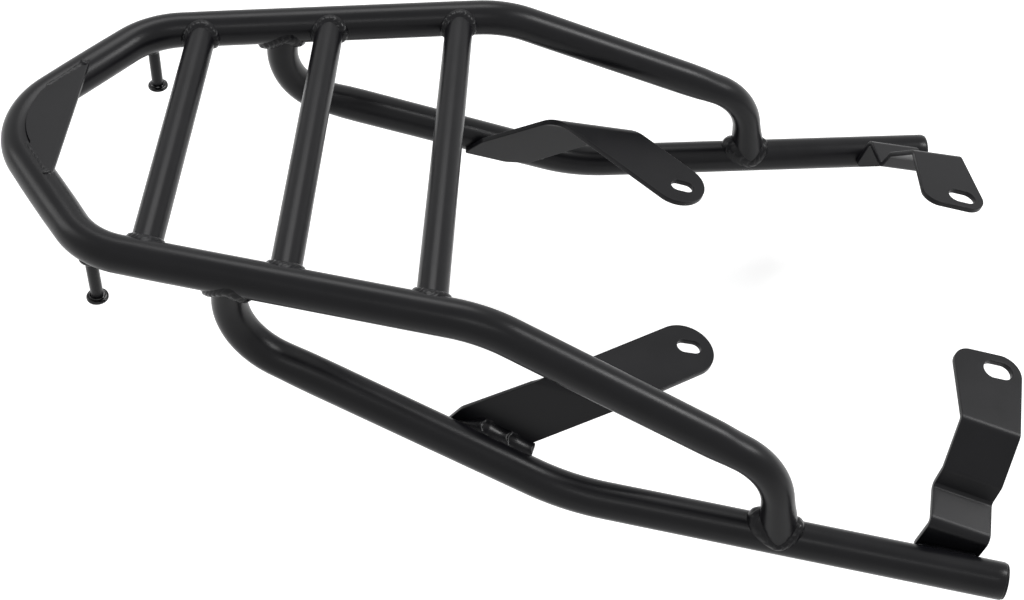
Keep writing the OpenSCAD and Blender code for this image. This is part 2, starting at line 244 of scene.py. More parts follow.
@dataclass(frozen=True)
class MeshMaker:
    """Turns numpy grids of points into closed Blender meshes."""

    sharp_degrees: float = 40.0

    def grid(
        self, name: str, rows: Array, close_rows: bool, close_columns: bool
    ) -> bpy.types.Object:
        """Makes a piece from a grid of points.

        Neighbouring points join into quads. Where the rows don't close on themselves, the first and
        last row each get one flat face, so the surface is closed.

        Args:
            name: the piece's name.
            rows: points in millimetres, of shape rows, columns, 3.
            close_rows: whether the last row joins the first.
            close_columns: whether the last column joins the first.

        Returns:
            The new object, at the origin, with its place in its mesh and its faces outwards.
        """
        n, m = rows.shape[:2]
        i = np.arange(n if close_rows else n - 1)[:, None]
        j = np.arange(m if close_columns else m - 1)[None, :]
        i2, j2 = (i + 1) % n, (j + 1) % m
        quads = np.stack([i * m + j, i2 * m + j, i2 * m + j2, i * m + j2], -1).reshape(-1, 4)
        points = rows.reshape(-1, 3) * MM
        ends = [] if close_rows else [np.arange(m), np.arange(n * m - m, n * m)[::-1]]
        if self._volume(points, quads) < 0:
            quads, ends = quads[:, ::-1], [e[::-1] for e in ends]
        mesh = bpy.data.meshes.new(name)
        mesh.from_pydata(points.tolist(), [], quads.tolist() + [e.tolist() for e in ends])
        mesh.validate()
        mesh.shade_smooth()
        mesh.set_sharp_from_angle(angle=math.radians(self.sharp_degrees))
        piece = bpy.data.objects.new(name, mesh)
        bpy.context.scene.collection.objects.link(piece)
        return piece

    @staticmethod
    def _volume(points: Array, quads: Array) -> float:
        """Six times the signed volume: the sum of a . (b x c) over triangles, from the mean point."""
        q = points[quads] - points.mean(0)
        first = np.einsum("ij,ij->i", q[:, 0], np.cross(q[:, 1], q[:, 2]))
        second = np.einsum("ij,ij->i", q[:, 0], np.cross(q[:, 2], q[:, 3]))
        return float((first + second).sum())


MESHES = MeshMaker()


def sweep(path: BentPath, radius: float, around: int = 64) -> Array:
    """Tube surface: centre + r (n cos a + b sin a), pressed flat towards the bend's centre.

    The pair n, b is carried along the path without twist: each n is the last one with its part
    along the new tangent taken away.

    Args:
        path: the centreline.
        radius: the tube's outside radius.
        around: points around the tube.

    Returns:
        Points of shape along, around, 3.
    """
    c, t, k, q = path.sample()
    n = np.empty_like(c)
    n[0] = unit(np.cross(t[0], [0.0, 0.0, 1.0] if abs(t[0][2]) < 0.9 else [1.0, 0.0, 0.0]))
    for i in range(1, len(c)):
        n[i] = unit(n[i - 1] - t[i] * (n[i - 1] @ t[i]))
    b = np.cross(t, n)
    a = np.linspace(0, 2 * math.pi, around, endpoint=False)
    out = radius * (n[:, None] * np.cos(a)[None, :, None] + b[:, None] * np.sin(a)[None, :, None])
    along_k = np.einsum("iaj,ij->ia", out, k)
    return c[:, None] + out - along_k[..., None] * k[:, None] * q[:, None, None]


def revolve(origin: Array, axis: Array, profile: Array, around: int = 48) -> Array:
    """Turned surface: origin + axis h + r (n cos a + b sin a) for each profile point (r, h).

    Args:
        origin: point on the axis where h is zero.
        axis: direction of the axis.
        profile: points (r, h), from one end of the turned piece to the other.
        around: points round the axis.

    Returns:
        Points of shape profile points, around, 3.
    """
    z = unit(axis)
    n = unit(np.cross(z, [0.0, 0.0, 1.0] if abs(z[2]) < 0.9 else [1.0, 0.0, 0.0]))
    b = np.cross(z, n)
    a = np.linspace(0, 2 * math.pi, around, endpoint=False)
    ring = n * np.cos(a)[:, None] + b * np.sin(a)[:, None]
    return origin + profile[:, 1, None, None] * z + profile[:, 0, None, None] * ring[None]


class EffectGroups:
    """Shader node groups that several finishes share."""

    def __init__(self) -> None:
        """Builds each group once."""
        self.peel = self._peel()

    @staticmethod
    def _peel() -> bpy.types.NodeTree:
        """Orange peel of baked powder: fine rounded bumps over a slow, faint mottle.

        Returns:
            A group with inputs Vector, Grain and Spread, and outputs Height and Mottle.
        """
        tree = bpy.data.node_groups.new("coat_peel", "ShaderNodeTree")
        face = tree.interface
        face.new_socket("Vector", in_out="INPUT", socket_type="NodeSocketVector")
        grain = face.new_socket("Grain", in_out="INPUT", socket_type="NodeSocketFloat")
        grain.default_value = 900.0
        spread = face.new_socket("Spread", in_out="INPUT", socket_type="NodeSocketFloat")
        spread.default_value = 45.0
        face.new_socket("Height", in_out="OUTPUT", socket_type="NodeSocketFloat")
        face.new_socket("Mottle", in_out="OUTPUT", socket_type="NodeSocketFloat")
        nodes, links = tree.nodes, tree.links
        entry, leave = nodes.new("NodeGroupInput"), nodes.new("NodeGroupOutput")
        fine = nodes.new("ShaderNodeTexNoise")
        fine.inputs["Detail"].default_value = 2.0
        fine.inputs["Roughness"].default_value = 0.45
        slow = nodes.new("ShaderNodeTexNoise")
        slow.inputs["Detail"].default_value = 3.0
        for node, name in ((fine, "Grain"), (slow, "Spread")):
            links.new(entry.outputs["Vector"], node.inputs["Vector"])
            links.new(entry.outputs[name], node.inputs["Scale"])
        links.new(fine.outputs["Fac"], leave.inputs["Height"])
        links.new(slow.outputs["Fac"], leave.inputs["Mottle"])
        return tree


@dataclass(frozen=True)
class PowderCoat:
    """A baked powder finish on steel."""

    name: str
    dark: tuple[float, float, float]
    light: tuple[float, float, float]
    smoothest: float
    roughest: float
    grain: float = 900.0
    peel: float = 0.12
    depth: float = 0.00006
    specular: float = 0.19
    coat: float = 0.0
    coat_roughness: float = 0.2
    mottle: tuple[float, float] = (0.3, 0.7)

    def build(self, effects: EffectGroups) -> bpy.types.Material:
        """Makes the material.

        Args:
            effects: the shared node groups.

        Returns:
            A material whose colour and roughness follow the mottle, and its normal the peel.
        """
        material = bpy.data.materials.new(self.name)
        material.use_nodes = True
        nodes, links = material.node_tree.nodes, material.node_tree.links
        shader = nodes["Principled BSDF"]
        place = nodes.new("ShaderNodeTexCoord")
        group = nodes.new("ShaderNodeGroup")
        group.node_tree = effects.peel
        group.inputs["Grain"].default_value = self.grain
        links.new(place.outputs["Object"], group.inputs["Vector"])
        colour = nodes.new("ShaderNodeValToRGB")
        tones = (self.dark, self.light)
        for stop, position, tone in zip(colour.color_ramp.elements, self.mottle, tones):
            stop.position = position
            stop.color = (*tone, 1.0)
        links.new(group.outputs["Mottle"], colour.inputs["Fac"])
        links.new(colour.outputs["Color"], shader.inputs["Base Color"])
        rough = nodes.new("ShaderNodeMapRange")
        rough.inputs["From Min"].default_value, rough.inputs["From Max"].default_value = self.mottle
        rough.inputs["To Min"].default_value = self.smoothest
        rough.inputs["To Max"].default_value = self.roughest
        links.new(group.outputs["Mottle"], rough.inputs["Value"])
        links.new(rough.outputs["Result"], shader.inputs["Roughness"])
        bump = nodes.new("ShaderNodeBump")
        bump.inputs["Strength"].default_value = self.peel
        bump.inputs["Distance"].default_value = self.depth
        links.new(group.outputs["Height"], bump.inputs["Height"])
        links.new(bump.outputs["Normal"], shader.inputs["Normal"])
        shader.inputs["Specular IOR Level"].default_value = self.specular
        shader.inputs["Coat Weight"].default_value = self.coat
        shader.inputs["Coat Roughness"].default_value = self.coat_roughness
        return material


class Finishes:
    """The rack's finishes, one for each material slot."""

    def __init__(self) -> None:
        """Builds every material once."""
        effects = EffectGroups()
        satin = ((0.0036, 0.0036, 0.0046), (0.0052, 0.0051, 0.0064))
        gloss = ((0.003, 0.003, 0.0035), (0.004, 0.004, 0.0048))
        coats = {
            Slot.TUBE: PowderCoat("satin_coat_tube", *satin, 0.29, 0.34),
            Slot.BRACKET: PowderCoat("satin_coat_plate", *satin, 0.34, 0.39),
            Slot.WELD: PowderCoat("coat_over_weld", *satin, 0.24, 0.34, peel=0.2),
            Slot.CAP: PowderCoat("satin_coat_cap", *satin, 0.32, 0.38),
            Slot.PEG_FOOT: PowderCoat("gloss_peg_foot", *gloss, 0.16, 0.24, coat=0.3),
        }
        self._materials = {slot: coat.build(effects) for slot, coat in coats.items()}

    def dress(self, piece: bpy.types.Object, slot: Slot, *nodes: str) -> None:
        """Gives a piece its finish, its body and the nodes it stands for.

        Args:
            piece: the new piece.
            slot: the record's slot that its finish belongs to.
            nodes: the CAD nodes that it replaces.
        """
        piece.data.materials.clear()
        piece.data.materials.append(self._materials[slot])
        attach(piece, "root")
        if nodes:
            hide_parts(*nodes)
        LOG.info("made %s with %d faces", piece.name, len(piece.data.polygons))


@dataclass
class TubeFrame:
    """The hoop, the two lower rails with their caps, and the crossbars."""

    sizes: RackSizes
    knee_squash: float = 0.13
    elbow_squash: float = 0.11
    corner_squash: float = 0.03
    wide_squash: float = 0.01
    end_gap: float = 2.0
    bar_sink: float = 0.4
    around: int = 64
    bar_rings: int = 60
    front_chamfer: tuple[tuple[float, float], ...] = ((0.7, 1.0), (0.25, 0.984), (0.0, 0.955))

    def hoop(self) -> Array:
        """Surface of the hoop, from one foot round the nose to the other."""
        s = self.sizes
        near_foot = s.foot + unit(s.knee - s.foot) * self.end_gap
        left = [near_foot, s.knee, s.deck_point(s.deck_run), s.deck_point(0.0)]
        corners = np.array(left + [s.nose] + [Side.RIGHT.turn(p) for p in left[::-1]])
        radii = (s.knee_bend, s.shoulder_bend, s.rear_bend)
        squash = (self.knee_squash, self.wide_squash, self.corner_squash)
        path = BentPath(
            corners,
            radii + (s.nose_bend,) + radii[::-1],
            squash + (self.corner_squash,) + squash[::-1],
        )
        return sweep(path, s.tube_r, self.around)

    def rail(self) -> Array:
        """Surface of the left rail, with a small chamfer at its front end.

        A ring of the chamfer lies back from the rail's end, and is drawn in by its share.
        """
        s = self.sizes
        top = s.rail_top + unit(s.elbow - s.rail_top) * self.end_gap
        path = BentPath(
            np.array([top, s.elbow, s.dip, s.rail_front]),
            (s.elbow_bend, s.dip_bend),
            (self.elbow_squash, self.wide_squash),
        )
        rows = sweep(path, s.tube_r, self.around)
        axis = unit(s.rail_front - s.dip)
        tail = [
            s.rail_front - axis * back + (rows[-1] - s.rail_front) * share
            for back, share in self.front_chamfer
        ]
        return np.concatenate([rows[:-1], np.array(tail)])

    def cap(self) -> Array:
        """Surface of the left rail's end cap: a low disc with a rolled rim.

        The profile runs from the spigot inside the tube over the rim to the face, as points of
        radius and distance past the rail's end.
        """
        s = self.sizes
        a = np.radians(np.linspace(0, 90, 7))
        spigot = [[3.0, -4.0], [11.3, -4.0], [11.3, -0.4], [11.9, -0.2]]
        rim = np.stack([11.0 + 0.9 * np.cos(a), 0.7 + 0.9 * np.sin(a)], -1)
        face = [[9.6, 1.45], [4.0, 1.3]]
        profile = np.concatenate([spigot, rim, face])
        return revolve(s.rail_front, unit(s.rail_front - s.dip), profile, self.around)

    def crossbar(self, x: float) -> Array:
        """Surface of a crossbar whose ends are cut to the hoop's sides.

        Each line along the bar ends where its distance from the side's centreline is the tube's
        radius, less the depth that the bar sinks in.

        Args:
            x: the bar's place along the rack.

        Returns:
            Points of shape along, around, 3.
        """
        s = self.sizes
        a = np.linspace(0, 2 * math.pi, self.around, endpoint=False)
        dx, dz = s.bar_r * np.cos(a), s.bar_r * np.sin(a)
        slope = math.atan(s.flare)
        gap = np.sqrt(np.maximum((s.tube_r - self.bar_sink) ** 2 - dz**2, 0.0)) / math.cos(slope)
        end = s.side_half(x) + s.flare * dx - gap
        t = np.linspace(-1, 1, self.bar_rings)[:, None]
        y = t * end[None]
        return np.stack([np.broadcast_to(x + dx, y.shape), y, np.broadcast_to(dz, y.shape)], -1)

    def build(self, finishes: Finishes) -> None:
        """Makes the tubes, the bars and the caps."""
        finishes.dress(MESHES.grid("hoop_tube", self.hoop(), False, True), Slot.TUBE, "hoop")
        for side in Side:
            rail = MESHES.grid(f"rail_tube_{side.word}", side.turn(self.rail()), False, True)
            finishes.dress(rail, Slot.TUBE, f"rail_{side.word}")
            cap = MESHES.grid(f"rail_end_cap_{side.word}", side.turn(self.cap()), False, True)
            finishes.dress(cap, Slot.CAP, f"rail_cap_{side.word}")
        for x, word in zip(self.sizes.bar_x, ("rear", "middle", "front")):
            bar = MESHES.grid(f"cross_tube_{word}", self.crossbar(x), False, True)
            finishes.dress(bar, Slot.TUBE, f"crossbar_{word}")


@dataclass(frozen=True)
class SlotHole:
    """A slot with round ends in a flat bar, in millimetres."""

    at: Array
    turn: float
    length: float
    width: float

    def radius(self, angle: Array) -> Array:
        """Distance from the slot's centre to its wall: its straight side, or its round end."""
        a = angle - self.turn
        w, h = self.width / 2, (self.length - self.width) / 2
        c, s = np.abs(np.cos(a)), np.abs(np.sin(a))
        side = w / np.maximum(s, 1e-9)
        end = h * c + np.sqrt(np.maximum(w * w - (h * s) ** 2, 0))
        return np.where(side * c <= h, side, end)


@dataclass(frozen=True)
class FlatPattern:
    """A flat bar with one slot, before it is folded, as a closed skin with rounded edges.

    The stations are the places where the folded bar changes its slope, listed from the slot
    outwards. A fold runs along the other axis than fold_axis. The edge is the radius of the rounded
    edges, and the margin is the distance that a spoke's points keep from them.
    """

    outline: Array
    hole: SlotHole
    thick: float
    fold_axis: int
    stations: Array
    edge: float = 0.5
    step: float = 1.5
    margin: float = 0.25

    def surface(self) -> Array:
        """Points (u, v, depth) over the whole skin of the bar.

        Every spoke leads from the slot's wall over the top face to the outer edge, round it, and
        back under the lower face. On it a point lies at each station that the spoke meets, and the
        others are gathered just inside the edge. Both edges are rounded with quarter circles.

        Returns:
            Points of shape spokes, columns, 3, with depth measured down from the top face.
        """
        rim = self._ring()
        angle = np.arctan2(rim[:, 1] - self.hole.at[1], rim[:, 0] - self.hole.at[0])
        order = np.argsort(angle)
        rim, angle = rim[order], angle[order]
        way = np.stack([np.cos(angle), np.sin(angle)], -1)
        wall = self.hole.at + way * self.hole.radius(angle)[:, None]
        turn = np.radians([0.0, 22.5, 45.0, 67.5, 90.0])
        inset, depth = self.edge * (1 - np.cos(turn)), self.edge * (1 - np.sin(turn))
        inner = wall[:, None] - self._inset(wall)[:, None] * inset[None, :, None]
        outer = (rim[:, None] + self._inset(rim)[:, None] * inset[None, :, None])[:, ::-1]
        share = self._shares(inner[:, -1], outer[:, 0])
        span = inner[:, -1:] * (1 - share[..., None]) + outer[:, :1] * share[..., None]
        top = np.concatenate([inner, span, outer], 1)
        level = np.zeros(span.shape[1])
        down = np.broadcast_to(np.concatenate([depth, level, depth[::-1]]), top.shape[:2])
        upper = np.concatenate([top, down[..., None]], -1)
        lower = np.concatenate([top, (self.thick - down)[..., None]], -1)[:, ::-1]
        return np.concatenate([upper, lower], 1)

    def _shares(self, start: Array, end: Array) -> Array:
        """Shares of the way from the slot to the edge at which each spoke has its points.

        A station lies at its distance along the fold axis over the spoke's own. One that the spoke
        doesn't meet goes to the spoke's outer end. Points are held in order, hundredths of a
        millimetre apart.

        Args:
            start: first point of each spoke, beside the slot.
            end: last point of each spoke, beside the edge.

        Returns:
            Shares from 0 to 1, of shape spokes, stations + 2.
        """
        ahead = (end - start)[:, self.fold_axis, None]
        ahead = np.where(np.abs(ahead) < 1e-6, 1e-6, ahead)
        length = np.linalg.norm(end - start, axis=1)[:, None]
        met = (self.stations - start[:, self.fold_axis, None]) / ahead
        k = np.arange(len(self.stations))
        first, last = self.margin / length, 1 - self.margin / length
        lowest = (0.3 + 0.01 * k) / length
        highest = last - 0.03 * (len(k) - k) / length
        inside = np.clip(np.where(met < 0, 9.0, met), lowest, highest)
        return np.concatenate([first, inside, last], 1)

    def _ring(self) -> Array:
        """Outline with points at most a step apart, and points where it crosses the stations."""
        a, b = self.outline, np.roll(self.outline, -1, 0)
        length = np.linalg.norm(b - a, axis=1)
        start = np.concatenate([[0.0], np.cumsum(length)])
        run = (b - a)[:, self.fold_axis, None]
        cut = (self.stations - a[:, self.fold_axis, None]) / np.where(np.abs(run) < 1e-9, 1e-9, run)
        crossing = (start[:-1, None] + cut * length[:, None])[(cut > 0) & (cut < 1)]
        even = np.linspace(0, start[-1], math.ceil(start[-1] / self.step), endpoint=False)
        fixed = np.concatenate([start, crossing])
        even = even[np.abs(even[:, None] - fixed).min(1) > self.step / 3]
        place = np.sort(np.concatenate([start[:-1], crossing, even]))
        place = place[np.diff(place, prepend=place[-1] - start[-1]) > 0.1]
        closed = np.concatenate([self.outline, self.outline[:1]])
        return np.stack([np.interp(place, start, closed[:, k]) for k in range(2)], -1)

    @staticmethod
    def _inset(loop: Array) -> Array:
        """Inward normals of a closed loop that runs counter-clockwise, from its neighbours."""
        t = unit(np.roll(loop, -1, 0) - np.roll(loop, 1, 0))
        return np.stack([-t[:, 1], t[:, 0]], -1)


def rounded(corners: Array, radius: float) -> Array:
    """A closed outline with its corners rounded.

    Each corner gives way to a curve of second order that starts and ends at the radius' distance
    from it, (1 - t)^2 a + 2 t (1 - t) corner + t^2 b.

    Args:
        corners: points of the closed outline.
        radius: length cut off each edge at a corner.

    Returns:
        The outline's points, CORNER_POINTS of them for each corner.
    """
    before, after = np.roll(corners, 1, 0), np.roll(corners, -1, 0)
    t = np.linspace(0, 1, CORNER_POINTS)[None, :, None]
    reach_a = np.minimum(radius, np.linalg.norm(before - corners, axis=1) * 0.45)[:, None]
    reach_b = np.minimum(radius, np.linalg.norm(after - corners, axis=1) * 0.45)[:, None]
    a, b = corners + unit(before - corners) * reach_a, corners + unit(after - corners) * reach_b
    ring = (1 - t) ** 2 * a[:, None] + 2 * t * (1 - t) * corners[:, None] + t**2 * b[:, None]
    return ring.reshape(-1, corners.shape[1])


@dataclass
class MidBracket:
    """Flat bar folded once along an oblique ridge, with a slotted round end."""

    sizes: RackSizes
    width: float = 42.0
    lean: float = 16.9
    back: float = 51.7
    rise: float = 67.1
    ridge_turn: float = 11.7
    fold: float = 74.4
    skew: float = 43.8
    tab: float = 82.4
    radius: float = 12.0
    seat: float = 0.26
    slot_place: tuple[float, float] = (4.6, 0.25)
    slot_turn: float = 9.5
    slot_length: float = 17.0
    slot_width: float = 10.6
    leg_round: float = 2.0
    leg_corners: Array = field(
        default_factory=lambda: np.array(
            [[-0.688, -0.635], [-0.835, -0.9], [-0.33, -0.985], [-0.967, -0.946]]
        )
    )

    @property
    def half_fold(self) -> float:
        """Half the fold angle in radians."""
        return math.radians(self.fold) / 2

    @property
    def slip(self) -> float:
        """How much shorter the bend is than its two set-backs, on each side of the fold."""
        return self.radius * (math.tan(self.half_fold) - self.half_fold)

    def axes(self) -> dict[str, Array]:
        """Ridge point and directions of the folded bar, worked out as the solids do."""
        s = self.sizes
        slope = unit(s.dip - s.elbow)
        out = unit(np.array([-slope[1], slope[0], 0.0]))
        up = np.cross(slope, out)
        c, n = math.cos(math.radians(self.lean)), math.sin(math.radians(self.lean))
        leg_out, leg_up = out * c + up * n, up * c - out * n
        touch = s.dip - leg_out * (s.tube_r - self.seat)
        turn = math.radians(self.ridge_turn)
        ridge = slope * math.cos(turn) + leg_up * math.sin(turn)
        rise = np.cross(ridge, leg_out)
        tab_up = leg_out * math.cos(2 * self.half_fold) + rise * math.sin(2 * self.half_fold)
        return {
            "slope": slope,
            "touch": touch,
            "leg_out": leg_out,
            "leg_up": leg_up,
            "rise": rise,
            "at": touch - slope * self.back + leg_up * self.rise,
            "ridge": ridge,
            "tab_up": tab_up,
            "tab_in": np.cross(ridge, tab_up),
        }

    def pattern(self) -> FlatPattern:
        """The bar before folding: a strip at the skew angle across the ridge, v = 0 on the fold.

        The leg's corners are shares of the rise, and the last is measured from the ridge's far end.
        """
        skew = math.radians(self.skew)
        line = np.array([math.cos(skew), math.sin(skew)])
        across = np.array([-line[1], line[0]])
        slip = self.slip
        length = self.width / line[1]
        end = np.array([length / 2 - slip / math.tan(skew), -slip]) + line * self.tab
        a = np.radians(np.linspace(-90, 90, 33))
        arc = end + self.width / 2 * (np.outer(np.cos(a), line) + np.outer(np.sin(a), across))
        reach = self.radius * self.half_fold
        leg = self.leg_corners * self.rise
        leg[-1, 0] += length
        leg[:, 1] += slip
        bend_rear = np.array([-reach / math.tan(skew), -reach])
        bend_front = bend_rear + [length, 0.0]
        low = rounded(np.concatenate([[bend_rear], leg, [bend_front]]), self.leg_round)
        low = low[CORNER_POINTS:-CORNER_POINTS]
        outline = np.concatenate([arc, [bend_rear], low, [bend_front]])
        in_bend = np.linspace(reach, -reach, 21)
        stations = np.concatenate([[reach * 3, reach * 1.6], in_bend, [-reach * 1.6]])
        at = end + line * self.slot_place[0] + across * self.slot_place[1]
        hole = SlotHole(at, math.radians(self.slot_turn), self.slot_length, self.slot_width)
        return FlatPattern(outline, hole, self.sizes.plate, 1, stations)

    def bend(self, flat: Array) -> Array:
        """Folds the flat skin.

        Within the bend the fold angle is v over the bend's half length. Beyond it each flat starts
        at the set-back distance from the ridge. Depth is taken off along the local normal.

        Args:
            flat: points (u, v, depth) in millimetres.

        Returns:
            Points in the row's frame, in millimetres.
        """
        g = self.axes()
        half, r = self.half_fold, self.radius
        reach, set_back = r * half, r * math.tan(half)
        u, v, d = flat[..., :1], flat[..., 1:2], flat[..., 2:]
        base = g["at"] + u * g["ridge"]
        tab = base + g["tab_in"] * (set_back + v - reach) - g["tab_up"] * d
        leg = base - g["rise"] * (set_back - v - reach) - g["leg_out"] * d
        middle = unit(g["leg_out"] + g["tab_up"])
        cross = np.cross(middle, g["ridge"])
        cross = cross * np.sign(cross @ g["tab_up"])
        a = np.clip(v / reach, -1, 1) * half
        normal = middle * np.cos(a) + cross * np.sin(a)
        curve = base - middle * (r / math.cos(half)) + normal * (r - d)
        return np.where(v > reach, tab, np.where(v < -reach, leg, curve))

    def build(self, finishes: Finishes) -> None:
        """Makes the bracket on both sides."""
        skin = self.bend(self.pattern().surface())
        for side in Side:
            piece = MESHES.grid(f"mid_bracket_bar_{side.word}", side.turn(skin), True, True)
            finishes.dress(piece, Slot.BRACKET, f"mid_bracket_{side.word}")


@dataclass
class FrontBracket:
    """Flat bar with four parallel folds that carries the slotted front pad."""

    sizes: RackSizes
    width: float = 41.5
    at_x: float = 537.0
    pitch: float = 12.9
    seat: float = 0.26
    below: float = 16.0
    beyond: float = 90.0
    foot_round: float = 6.0
    heel_r: float = 12.5
    toe_r: float = 14.7
    slot_turn: float = -81.0
    slot_length: float = 20.8
    slot_width: float = 13.8
    steps: Array = field(
        default_factory=lambda: np.array(
            [[0, 0], [2.5, 28.2], [32.3, 29.4], [36, 43.5], [61.1, 69], [111, 71.3]], float
        )
    )

    def axes(self) -> dict[str, Array]:
        """Foot point and directions of the bracket, worked out as the solids do."""
        s = self.sizes
        level = unit(s.rail_front - s.dip)
        out = unit(np.array([-level[1], level[0], 0.0]))
        heading = unit(np.array([level[0], level[1], 0.0]))
        c, n = math.cos(math.radians(self.pitch)), math.sin(math.radians(self.pitch))
        z = np.array([0.0, 0.0, 1.0])
        on_rail = s.dip + level * ((self.at_x - s.dip[0]) / level[0])
        return {
            "level": level,
            "out": out,
            "fold": heading * c - z * n,
            "up": heading * n + z * c,
            "foot": on_rail - out * (s.tube_r - self.seat),
        }

    def _folds(self) -> tuple[Array, Array, Array, Array]:
        """Direction of each run, and turn, sense and the top line's radius at each fold."""
        s = self.sizes
        run = unit(np.diff(self.steps, axis=0))
        turn = np.arccos(np.clip((run[:-1] * run[1:]).sum(1), -1, 1))
        sense = np.sign(run[:-1, 0] * run[1:, 1] - run[:-1, 1] * run[1:, 0])
        return run, turn, sense, np.where(sense < 0, s.fold_radius, s.fold_radius - s.plate)

    def stations(self) -> tuple[Array, Array, Array]:
        """The bar's top line as straight runs and arcs.

        Returns:
            Length along the flat bar, points (p, q) and upward normals in the fold's own plane.
        """
        run, turn, sense, radius = self._folds()
        length, point = [-self.below], [self.steps[0] - run[0] * self.below]
        normal = [np.array([-run[0, 1], run[0, 0]])]
        here = self.steps[0] * 1.0
        s = 0.0
        for i in range(len(turn)):
            set_back = radius[i] * math.tan(turn[i] / 2)
            start = self.steps[i + 1] - run[i] * set_back
            s += float(np.linalg.norm(start - here))
            n = np.array([-run[i, 1], run[i, 0]])
            a = np.linspace(0, turn[i], 11) * sense[i]
            c, d = np.cos(a), np.sin(a)
            turned = np.stack([n[0] * c - n[1] * d, n[0] * d + n[1] * c], -1)
            centre = start + n * radius[i] * sense[i]
            length += list(s + np.abs(a) * radius[i])
            point += list(centre - turned * radius[i] * sense[i])
            normal += list(turned)
            s += turn[i] * radius[i]
            here = self.steps[i + 1] + run[i + 1] * set_back
        length.append(s + self.beyond)
        point.append(here + run[-1] * self.beyond)
        normal.append(normal[-1])
        return np.array(length), np.array(point), np.array(normal)

    def pattern(self) -> FlatPattern:
        """The bar before folding: a strip of one width that ends in the rounded pad.

        The pad's end is an arc at its toe and one at its heel, each centre + r (cos a, sin a).
        """
        _, turn, _, radius = self._folds()
        length, _, _ = self.stations()
        start = float(length[-2])
        pad = start - radius[-1] * math.tan(turn[-1] / 2)
        w = self.width
        toe, toe_turn = np.array([pad + 49.0, self.toe_r - w]), np.linspace(-90, 5, 20)
        heel, heel_turn = np.array([pad + 48.0, -5.0]), np.linspace(9, 99, 16)
        arcs = [
            centre + r * np.stack([np.cos(np.radians(a)), np.sin(np.radians(a))], -1)
            for centre, r, a in ((toe, self.toe_r, toe_turn), (heel, self.heel_r, heel_turn))
        ]
        foot = np.array([[-2.0, 0.0], [7.5, -w], [40.0, -w], [40.0, 0.0]])
        foot = rounded(foot, self.foot_round)[: 2 * CORNER_POINTS]
        outline = np.concatenate([foot, *arcs, [[start, 0.0]]])
        stations = np.concatenate([[start + 9.0, start + 1.5], length[1:-1][::-1], [1.5]])
        at, slot_turn = np.array([pad + 50.0, -24.0]), math.radians(self.slot_turn)
        hole = SlotHole(at, slot_turn, self.slot_length, self.slot_width)
        return FlatPattern(outline, hole, self.sizes.plate, 0, stations)

    def bend(self, flat: Array) -> Array:
        """Carries the flat skin round the folds.

        A point keeps its length along the bar's top line and its place across it, and its depth is
        taken off along the line's normal there.

        Args:
            flat: points (length, across, depth), with across measured back from the rear edge.

        Returns:
            Points in the row's frame, in millimetres.
        """
        g = self.axes()
        length, *tables = self.stations()
        on_line, normal = (
            np.stack([np.interp(flat[..., 0], length, table[:, k]) for k in range(2)], -1)
            for table in tables
        )
        pq = on_line - unit(normal) * flat[..., 2:]
        in_fold = g["foot"] - pq[..., :1] * g["out"] + pq[..., 1:] * g["up"]
        return in_fold - flat[..., 1:2] * g["fold"]

    def build(self, finishes: Finishes) -> None:
        """Makes the bracket on both sides."""
        skin = self.bend(self.pattern().surface())
        for side in Side:
            piece = MESHES.grid(f"front_bracket_bar_{side.word}", side.turn(skin), True, True)
            finishes.dress(piece, Slot.BRACKET, f"front_bracket_{side.word}")


